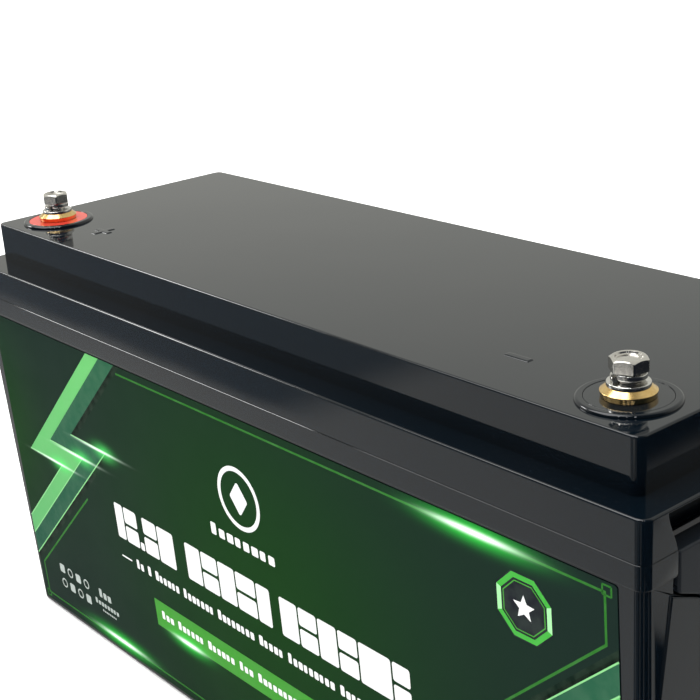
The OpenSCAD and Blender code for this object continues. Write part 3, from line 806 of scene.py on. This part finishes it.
def build_handle(side, name):
    """A flat grip with a round hinge barrel along its top, a finger opening and rounded edges."""
    foot = -14.0
    barrel = [(BARREL_R, foot), (BARREL_R, BARREL_R)]
    barrel += arc(0, 0, BARREL_R, 90, 250.5, 20) + [(BARREL_R - HANDLE_T, foot)]
    barrel = [(PIVOT_X + x, PIVOT_Z + z) for x, z in barrel]
    made = place(mirrored(prism(barrel, -HANDLE_HALF, HANDLE_HALF, "y"), side), name)
    cut(made, mirrored(corner_cutter(), side))
    plate = soften(lifted(handle_outline(0)), [0, 2.5, 2.5, 6, 6, 2.5, 2.5, 0], 6)
    plate = [(y, min(z, PIVOT_Z - 5.8)) for y, z in plate]
    front = PIVOT_X + BARREL_R
    join(made, mirrored(prism(plate, front - HANDLE_T, front, "x"), side))
    opening = [(y, z + PIVOT_Z - OPENING_DROP) for y, z in rounded_rect(*OPENING, 8)]
    cut(made, mirrored(prism(opening, PIVOT_X - 10, PIVOT_X + 10, "x"), side))
    for half in SIDES:
        cut(made, pin_hole(side, half))
    merge_slivers(made)
    return smooth(made, 1.1, 4, angle=35)


# ---------- terminals ----------


def on_axis(bm, name, side, *rounding):
    """A smooth piece whose origin is on one terminal's axis."""
    return smooth(place(bm, name, (side * POST_X, POST_Y, 0)), *rounding)


def build_post(side, name):
    """A brass post with a bevelled flange and a bore for the bolt."""
    chamfer, flange_r, flange_low = 0.3, 10.4, DISC_HIGH + 0.01
    profile = [(BORE_R, BORE_LOW), (BORE_R, FLANGE_TOP - chamfer), (BORE_R + chamfer, FLANGE_TOP)]
    bevel = [(POST_R, FLANGE_TOP), (flange_r, FLANGE_TOP - 1.75), (flange_r - 0.1, FLANGE_TOP - 2.2)]
    profile += soften(bevel, [0, 0.25, 0], 4)
    profile += [(flange_r - 0.4, flange_low + 0.14), (flange_r - 0.55, flange_low), (POST_R, flange_low)]
    profile += [(POST_R, POST_LOW), (0, POST_LOW), (0, BORE_LOW)]
    return on_axis(revolve(profile, 128), name, side)


def build_disc(side, name):
    """A coloured disc that lies in the lid's ring, around the post."""
    low, rim, edge = DISC_LOW + 0.01, DISC_R - 0.05, 0.35
    profile = [(HOLE_R, low), (rim, low)]
    profile += arc(rim - edge, DISC_HIGH - edge, edge, 0, 90, 5) + [(HOLE_R, DISC_HIGH)]
    return on_axis(revolve(profile, 128), name, side)


def build_flat_washer(side, name):
    """A stamped washer, rounder along the top of its rim."""
    outline = [(WASHER_BORE, FLAT_LOW), (FLAT_R, FLAT_LOW), (FLAT_R, FLAT_HIGH), (WASHER_BORE, FLAT_HIGH)]
    return on_axis(revolve(soften(outline, [0.1, 0.15, 0.4, 0.25], 4), 128), name, side)


def build_lock_washer(side, name, split):
    """A split ring that climbs by its own spring from the flat washer to the bolt's head."""
    outline = [(WASHER_BORE, 0), (SPRING_R, 0), (SPRING_R, SPRING_T), (WASHER_BORE, SPRING_T)]
    section = soften(outline, 0.3, 3)
    steps, gap, cant = 72, 10.0, 6.0
    rise = HEAD_LOW - FLAT_HIGH - SPRING_T - 0.1
    rings = []
    for step in range(steps + 1):
        share = step / steps
        low = FLAT_HIGH + 0.05 + rise * (1 - share)
        ring = []
        for r, z in section:
            angle = split + gap + (360 - 2 * gap) * share - cant * (z / SPRING_T - 0.5)
            ring.append((*polar(r, angle), low + z))
        rings.append(ring)
    return on_axis(loft(rings), name, side, 0.15, 2)


def hex_radius(angle):
    """Distance from the middle of the hexagon to its side; its corners are slightly rounded."""
    folded = (angle + 30) % 60 - 30
    return min(HEX_FLATS / 2 / math.cos(math.radians(folded)), HEX_CORNER_R)


def bolt_profile(r):
    """The bolt's outline, (radius, height), where the head's side is at radius r."""
    rim, dish, chamfer = 6.05, 4.8, math.tan(math.radians(32))
    top, brow = BOLT_HIGH, BOLT_HIGH - (r - rim) * chamfer
    shank = [(0, BOLT_LOW), (SHANK_R - 0.6, BOLT_LOW), (SHANK_R, BOLT_LOW + 0.6),
             (SHANK_R, HEAD_LOW - 0.3), (SHANK_R + 0.15, HEAD_LOW)]
    flank = [(r - 0.45, HEAD_LOW), (r - 0.1, HEAD_LOW + 0.12), (r, HEAD_LOW + 0.4),
             (r, brow - 0.25), (r - 0.06, brow - 0.06), (r - 0.3, brow + 0.12)]
    crown = [(rim + 0.1, top - 0.1), (rim - 0.2, top), (dish + 0.5, top), (dish + 0.2, top - 0.15),
             (dish - 0.1, top - 0.75), (dish - 0.6, top - 1.0), (2.4, top - 0.85), (0, top - 0.6)]
    return shank + flank + crown


def build_bolt(side, name, turn):
    """A hex bolt with a chamfered head, a shallow dish on top and a plain shank."""
    steps = 180
    rings = []
    for step in range(steps):
        angle = 360 * step / steps
        profile = bolt_profile(hex_radius(angle))
        rings.append([(*polar(r, angle + turn), z) for r, z in profile])
    return on_axis(welded(loft(rings, closed=True)), name, side)


# ---------- label ----------

WALL_FOOT = Vector((0, -HALF_W + SIDE_INSET, 0))
UP_WALL = Vector((0, -math.sin(DRAFT), math.cos(DRAFT)))
OFF_WALL = Vector((0, -math.cos(DRAFT), -math.sin(DRAFT)))
WHITE = ink("white_ink", (0.70, 0.70, 0.70))
LEAF = ink("leaf_green_ink", (0.0457, 0.251, 0.028))


def on_label(x, z, lift):
    """A point on the label's plane at x and height z along the wall, raised off the wall by lift."""
    return WALL_FOOT + Vector((x, 0, 0)) + UP_WALL * z + OFF_WALL * (lift + 0.02)


def printed(name, shapes, level, material):
    """Flat printed shapes, each a closed outline of (x, z), as one piece a hair above the film."""
    bm = bmesh.new()
    for shape in shapes:
        low = [bm.verts.new(on_label(x, z, LABEL_T - 0.005)) for x, z in shape]
        high = [bm.verts.new(on_label(x, z, LABEL_T + level * 0.02)) for x, z in shape]
        bm.faces.new(low)
        bm.faces.new(list(reversed(high)))
        for i in range(len(shape)):
            j = (i + 1) % len(shape)
            bm.faces.new((low[j], low[i], high[i], high[j]))
    return piece(place(bm, name), "battery", "label_film", material=material)


def band(points, width):
    """The outline of a stroke of that width along an open path, its corners mitred."""
    left, right = [], []
    for i, point in enumerate(points):
        here = Vector(point)
        before = (here - Vector(points[i - 1])).normalized() if i else None
        after = (Vector(points[i + 1]) - here).normalized() if i < len(points) - 1 else None
        first, second = before or after, after or before
        side = Vector((-first.y - second.y, first.x + second.x)).normalized()
        reach = width / 2 / max(side.dot(Vector((-first.y, first.x))), 0.4)
        left.append(tuple(here + side * reach))
        right.append(tuple(here - side * reach))
    return left + right[::-1]


def block(x, z, width, height, r=0.6):
    """A rounded block with its lower left corner at (x, z)."""
    return [(x + width / 2 + u, z + height / 2 + v) for u, v in rounded_rect(width, height, r, 3)]


def words(x, z, height, counts, pitch, gap):
    """Plain blocks in place of words: one run of blocks for each count, without any lettering."""
    shapes = []
    for number, count in enumerate(counts):
        for k in range(count):
            width = pitch * (0.64 + 0.07 * ((k + number) % 3))
            shapes.append(block(x, z, width, height * (1.0 if k == 0 else 0.74), height * 0.12))
            x += pitch
        x += gap
    return shapes


def half_turn(shape):
    """The same shape at the opposite corner of the label."""
    return [(-x, TURN_Z - z) for x, z in shape]


def doubled(shapes):
    """The shapes and their twins at the opposite corner."""
    return shapes + [half_turn(shape) for shape in shapes]


def ring_shape(x, z, r, width, sides, turn=0.0):
    """A ring as segments, each a closed outline."""
    outside, inside = (arc(x, z, q, turn, turn + 360, sides) for q in (r, r - width))
    return [[outside[k], outside[k + 1], inside[k + 1], inside[k]] for k in range(sides)]


def star(x, z, r, points=5):
    """A star with a point straight up."""
    outer, inner = (arc(x, z, q, 90, 450, 2 * points) for q in (r, r * 0.45))
    return [(inner if k % 2 else outer)[k] for k in range(2 * points)]


def zigzag(start, run):
    """A path that slants from the label's top edge, steps back, and slants on to its left edge."""
    turn_z = LABEL_TOP - run * STRIPE_SLOPE
    back = start - run + STRIPE_STEP
    end_z = turn_z - (back + LABEL_HALF) * STRIPE_SLOPE
    return [(start, LABEL_TOP), (start - run, turn_z), (back, turn_z), (-LABEL_HALF, end_z)]


def build_film():
    outline = [(-LABEL_HALF, LABEL_LOW), (LABEL_HALF, LABEL_LOW), (LABEL_HALF, LABEL_TOP),
               (-LABEL_HALF, LABEL_TOP)]
    film = soften(outline, 1.5, 4)
    rings = [[on_label(x, z, lift) for x, z in film] for lift in (0.0, LABEL_T)]
    made = smooth(place(loft(rings), "label_sheet"), 0.08, 2, angle=60)
    piece(made, "battery", "label_film", "front_label")


def build_stripes():
    """A stripe that steps back on itself, in two greens, and its twin at the opposite corner."""
    outer, inner, last = zigzag(-125, 87), zigzag(-112, 73), zigzag(-97, 61)
    for number, (reach, shade) in enumerate(((5.0, 0.6), (2.4, 0.3))):
        past = [(last[0][0] + reach, LABEL_TOP)] + [(x + reach, z) for x, z in last[1:3]]
        past.append((-LABEL_HALF, last[3][1] - reach))
        tone = ink("stripe_shadow_%d" % number, (0.006 * shade, 0.020 * shade, 0.012 * shade))
        shadow = last + past[::-1]
        printed("label_stripe_shadow_%d" % number, doubled([shadow]), 0.3 + 0.3 * number, tone)
    teal = ink("teal_ink", (0.0190, 0.091, 0.046), (0.0120, 0.066, 0.040))
    printed("label_stripe_teal", doubled([inner + last[::-1]]), 1, teal)
    green = ink("light_green_ink", (0.112, 0.405, 0.118), (0.085, 0.31, 0.11))
    printed("label_stripe_green", doubled([outer + inner[::-1]]), 2, green)
    edges = [band(path[1:], 0.7) for path in (outer, inner, last)]
    printed("label_stripe_edges", doubled(edges), 3, ink("pale_green_ink", (0.20, 0.50, 0.20)))


def build_border():
    """A thin line with cut corners and a small square at two of them."""
    line = [(-96, 185.2), (223.5, 185.2), (223.5, 164), (168, 113), (151, 97.5)]
    square = [(222.4, 184.1), (226.4, 184.1), (226.4, 188.1), (222.4, 188.1), (222.4, 184.1)]
    shapes = [band(line, 1.1)] + [band(pair, 0.8) for pair in zip(square, square[1:])]
    printed("label_border", doubled(shapes), 1, ink("border_green_ink", (0.0200, 0.125, 0.0165)))


def build_lettering():
    """Blocks where the lettering is: a title, a line under it and a banner."""
    title = []
    low, full, half, r = 83.5, 21.0, 9.6, 1.3
    groups = ((-121, (8, 12.5, 3.6, 13, 15)), (-53, (13, 13.5, 13.5, 15.5, 10.5)),
              (25.5, (13, 13, 13, 13, 21, 11)))
    for x, widths in groups:
        for k, width in enumerate(widths):
            if width < 5:
                title.append(block(x, low, width, 4.6, 0.8))
            elif k % 2:
                title += [block(x, z, width, half, r) for z in (low, low + full - half)]
            else:
                title.append(block(x, low, width, full, r))
            x += width + 1.2
    printed("label_title", title, 2, WHITE)
    lines = [block(-121, 71.3, 10, 0.9, 0.3)] + words(-106, 69.2, 5.6, (2, 1, 6, 7, 8, 5, 9, 7), 3.9, 3.4)
    printed("label_lines", lines, 2, WHITE)
    printed("label_banner", [[(-93, 39.5), (93, 39.5), (93, 56), (-93, 56)]], 1, LEAF)
    printed("label_banner_words", words(-87, 45.6, 5.0, (3, 6, 6, 3, 12, 8), 4.0, 3.6), 2, WHITE)


def build_emblem():
    """A diamond in a ring, with a row of blocks under it."""
    x, z = 2.5, 147
    diamond = soften([(x, z - 9), (x + 7, z), (x, z + 9), (x - 7, z)], 1.2, 4)
    shapes = ring_shape(x, z, 16.5, 2.4, 48) + [diamond] + words(-25, 119.6, 6.6, (8,), 6.6, 0)
    printed("label_emblem", shapes, 2, WHITE)


def build_icons():
    """Two rows of rings and blocks, with three short rows of blocks beside them."""
    shapes = []
    size = 5.6
    for row, z in enumerate((33.4, 23.4)):
        for column in range(4):
            x = -200 + 9.4 * column
            if (row + column) % 2:
                shapes += ring_shape(x, z, 3.1, 0.9, 20)
            else:
                shapes.append(block(x - size / 2, z - size / 2, size, size, 1.0))
    for x, z, height, count, pitch in ((-157, 31.2, 5.6, 3, 4.6), (-163, 25.2, 3.6, 8, 3.3),
                                       (-156, 21.8, 1.5, 8, 1.9)):
        shapes += words(x, z, height, (count,), pitch, 0)
    printed("label_icons", shapes, 2, ink("grey_ink", (0.36, 0.40, 0.38)))


def build_badge():
    """An eight-sided badge with a green rim, bright along two of its sides, and a star."""
    x, z, turn = 184.5, 162.8, 22.5
    back = arc(x, z, 15.4, turn, turn + 315, 7)
    printed("label_badge_back", [back], 1, ink("night_ink", (0.010, 0.011, 0.016)))
    rim = ring_shape(x, z, 14.8, 2.4, 8, turn)
    dull = [segment for k, segment in enumerate(rim) if k % 4 != 3]
    printed("label_badge_rim", dull, 2, ink("badge_green_ink", (0.045, 0.33, 0.04)))
    printed("label_badge_glint", rim[3::4], 2, ink("badge_glint_ink", (0.30, 0.66, 0.30)))
    printed("label_badge_line", ring_shape(x, z, 11.4, 0.5, 8, turn), 2, LEAF)
    printed("label_badge_star", [star(x, z, 5.6)], 2, WHITE)


# ---------- the object ----------

build_case()
build_lid()
for side, name in ((1, "right_handle"), (-1, "left_handle")):
    piece(build_handle(side, name + "_grip"), name, "handle_plastic", name)
for side, name, disc_slot, turn, split in ((1, "negative", "disc_plastic", -6.0, -100.0),
                                           (-1, "positive", "red_plastic", 3.0, -60.0)):
    piece(build_disc(side, name + "_disc_cap"), "battery", disc_slot, name + "_disc")
    piece(build_post(side, name + "_terminal"), "battery", "post_brass", name + "_post")
    washer = build_flat_washer(side, name + "_plain_washer")
    piece(washer, name + "_washers", "washer_steel", name + "_flat_washer")
    washer = build_lock_washer(side, name + "_spring_washer", split)
    piece(washer, name + "_washers", "washer_steel", name + "_lock_washer")
    piece(build_bolt(side, name + "_hex_bolt", turn), name + "_bolt", "stainless_bolt", name + "_bolt")
build_film()
build_stripes()
build_border()
build_lettering()
build_emblem()
build_icons()
build_badge()

# ---------- camera, light and floor ----------

CAMERA_AT = (0.50514, -0.41720, 0.43248)
AZIMUTH, ELEVATION, ROLL = (math.radians(angle) for angle in (51.263, 19.826, -4.005))
LENS, SENSOR = 73.183, 36.0


def build_camera():
    data = bpy.data.cameras.new("camera")
    data.sensor_width = SENSOR
    data.lens = LENS
    data.clip_start = 0.01
    level = math.cos(ELEVATION)
    forward = Vector((-math.sin(AZIMUTH) * level, math.cos(AZIMUTH) * level, -math.sin(ELEVATION)))
    right = Vector((math.cos(AZIMUTH), math.sin(AZIMUTH), 0))
    up = right.cross(forward)
    turned_right = right * math.cos(ROLL) + up * math.sin(ROLL)
    turned_up = up * math.cos(ROLL) - right * math.sin(ROLL)
    turned = Matrix((turned_right, turned_up, -forward)).transposed().to_4x4()
    camera = bpy.data.objects.new("camera", data)
    camera.matrix_world = Matrix.Translation(CAMERA_AT) @ turned
    bpy.context.scene.collection.objects.link(camera)
    bpy.context.scene.camera = camera


def panel_light(name, position, aim, size, power, mirrored_in=True):
    """A rectangular lamp; mirrored_in says whether glossy surfaces show it."""
    data = bpy.data.lights.new(name, "AREA")
    data.shape, data.size, data.size_y = "RECTANGLE", size[0], size[1]
    data.energy = power
    made = bpy.data.objects.new(name, data)
    made.location = position
    made.rotation_euler = (Vector(aim) - Vector(position)).to_track_quat("-Z", "Y").to_euler()
    made.visible_glossy = mirrored_in
    bpy.context.scene.collection.objects.link(made)


def sheet(name, size, height, material):
    """A level square sheet of the surroundings."""
    bm = bmesh.new()
    bmesh.ops.create_grid(bm, x_segments=1, y_segments=1, size=size / 2)
    mesh = bpy.data.meshes.new(name)
    bm.to_mesh(mesh)
    bm.free()
    mesh.materials.append(material)
    made = bpy.data.objects.new(name, mesh)
    made.location = (0, 0, height)
    bpy.context.scene.collection.objects.link(made)
    return made


def floor_paint():
    paint = Paint("pale_floor")
    tone = paint.mix(paint.between(paint.noise(3.0), 0.0, 1.0), (0.86, 0.86, 0.86), (0.84, 0.84, 0.84))
    return paint.set(Base_Color=tone, Roughness=0.9)


# Tones of the painted reflection: painted shade, dimmer painted shade and painted glint highlights
PAINTED_SHADE, PAINTED_DIM_SHADE, PAINTED_GLINT = (0.012, 0.014, 0.02), (0.15, 0.16, 0.17), (1.5, 1.45, 1.35)
# Painted reflection: seen from the case's front right corner, the reflected floor's tone changes between
# two headings, in degrees; the dark and dim tones are painted shade, the glints painted highlights
PAINTED_REFLECTION_STEPS = ((-124, -116, PAINTED_DIM_SHADE), (-108, -107, PAINTED_GLINT), (-106, -105, PAINTED_DIM_SHADE), (-84, -76, PAINTED_SHADE),
               (-66, -65, PAINTED_GLINT), (-64, -63, PAINTED_SHADE), (-32, -31, PAINTED_GLINT), (-30, -29, PAINTED_SHADE),
               (11, 12, (0.5, 0.52, 0.54)), (15, 16, PAINTED_SHADE), (36, 44, (0.52, 0.52, 0.50)))


def painted_floor_reflection():
    """A glowing sheet seen only in reflections, a painted reflection of the floor as the polished case
    mirrors it: pale, dimmer past the table's edge, painted shade by the camera, painted glint streaks and a
    painted highlight patch.
    """
    paint = Paint("painted_floor_reflection")
    x, y = (paint.math("MULTIPLY", axis, MM) for axis in paint.axes("XY"))

    def step(value, start, end):
        inputs = {"Value": value, "From Min": start, "From Max": end}
        return paint.add("ShaderNodeMapRange", inputs, interpolation_type="SMOOTHSTEP").outputs[0]

    past_table = paint.math("MULTIPLY", step(x, -0.30, -0.40), step(y, -0.370, -0.392))
    pale = paint.mix(step(x, -0.45, -1.0), (0.72, 0.72, 0.70), (0.42, 0.44, 0.45))
    tone = paint.mix(past_table, pale, (0.22, 0.25, 0.275))
    corner_x, corner_y = 0.24, -0.09
    dx, dy = paint.math("SUBTRACT", x, corner_x), paint.math("SUBTRACT", y, corner_y)
    heading = paint.math("MULTIPLY", paint.math("ARCTAN2", dy, dx), 180 / math.pi)
    for start, end, colour in PAINTED_REFLECTION_STEPS:
        tone = paint.mix(step(heading, start, end), tone, colour)
    # Painted shade: the reflected floor goes dark towards the far right.
    tone = paint.mix(step(x, 0.50, 0.56), tone, PAINTED_SHADE)
    # Painted highlight: a bright glowing patch that the polished case mirrors.
    painted_highlight_patch = paint.math("MULTIPLY", paint.hill(x, 0.30, 0.08), paint.hill(y, -0.66, 0.10))
    tone = paint.mix(painted_highlight_patch, tone, (1.1, 1.08, 1.02))
    # The sheet's tone is emitted, so it glows though it is no lamp.
    return paint.set(Base_Color=(0, 0, 0, 1), Roughness=1.0, Emission_Color=tone, Emission_Strength=1.0,
                     Specular_IOR_Level=0.0)


def build_world():
    """Bright behind the battery and dim on the camera's side."""
    world = bpy.data.worlds.new("studio")
    world.use_nodes = True
    tree = world.node_tree
    direction = tree.nodes.new("ShaderNodeTexCoord").outputs["Generated"]
    toward = tree.nodes.new("ShaderNodeVectorMath")
    toward.operation = "DOT_PRODUCT"
    toward.inputs[1].default_value = (-0.63, 0.78, 0.0)
    share = tree.nodes.new("ShaderNodeMapRange")
    share.interpolation_type = "SMOOTHSTEP"
    share.inputs["From Min"].default_value = -0.35
    share.inputs["From Max"].default_value = 0.25
    tone = tree.nodes.new("ShaderNodeMix")
    tone.data_type = "RGBA"
    tone.inputs[6].default_value = (0.05, 0.055, 0.065, 1)
    tone.inputs[7].default_value = (0.70, 0.70, 0.645, 1)
    tree.links.new(direction, toward.inputs[0])
    tree.links.new(toward.outputs["Value"], share.inputs["Value"])
    tree.links.new(share.outputs[0], tone.inputs[0])
    tree.links.new(tone.outputs[2], tree.nodes["Background"].inputs[0])
    bpy.context.scene.world = world


def build_stage():
    sheet("floor", 14, -0.0002, floor_paint())
    # A glowing sheet that only reflections show: a painted reflection of the floor, with painted shade and
    # painted highlights.
    reflection_sheet = sheet("painted_floor_reflection", 8, 0.0005, painted_floor_reflection())
    reflection_sheet.visible_camera = reflection_sheet.visible_diffuse = False
    reflection_sheet.visible_shadow = reflection_sheet.visible_transmission = False
    build_world()
    panel_light("soft_top", (-0.5, -0.9, 2.3), (0, 0, 0.1), (2.2, 2.2), 62)
    panel_light("soft_front", (0.1, -2.4, 1.2), (0, 0, 0.1), (2.0, 1.2), 22, False)
    panel_light("soft_left", (-2.0, -0.8, 1.35), (0, 0, 0.2), (0.7, 0.5), 14)
    panel_light("far_floor", (-1.2, 2.2, 3.0), (-1.2, 2.2, 0), (7, 6), 330, False)
    for x, y in ((0.75, -1.9), (1.25, -1.55), (1.7, -1.1)):
        panel_light("lamp", (x, y, 2.0), (0.2, 0, 0.2), (0.12, 0.12), 3.0)
    bpy.context.scene.view_settings.view_transform = "Standard"


build_camera()
build_stage()
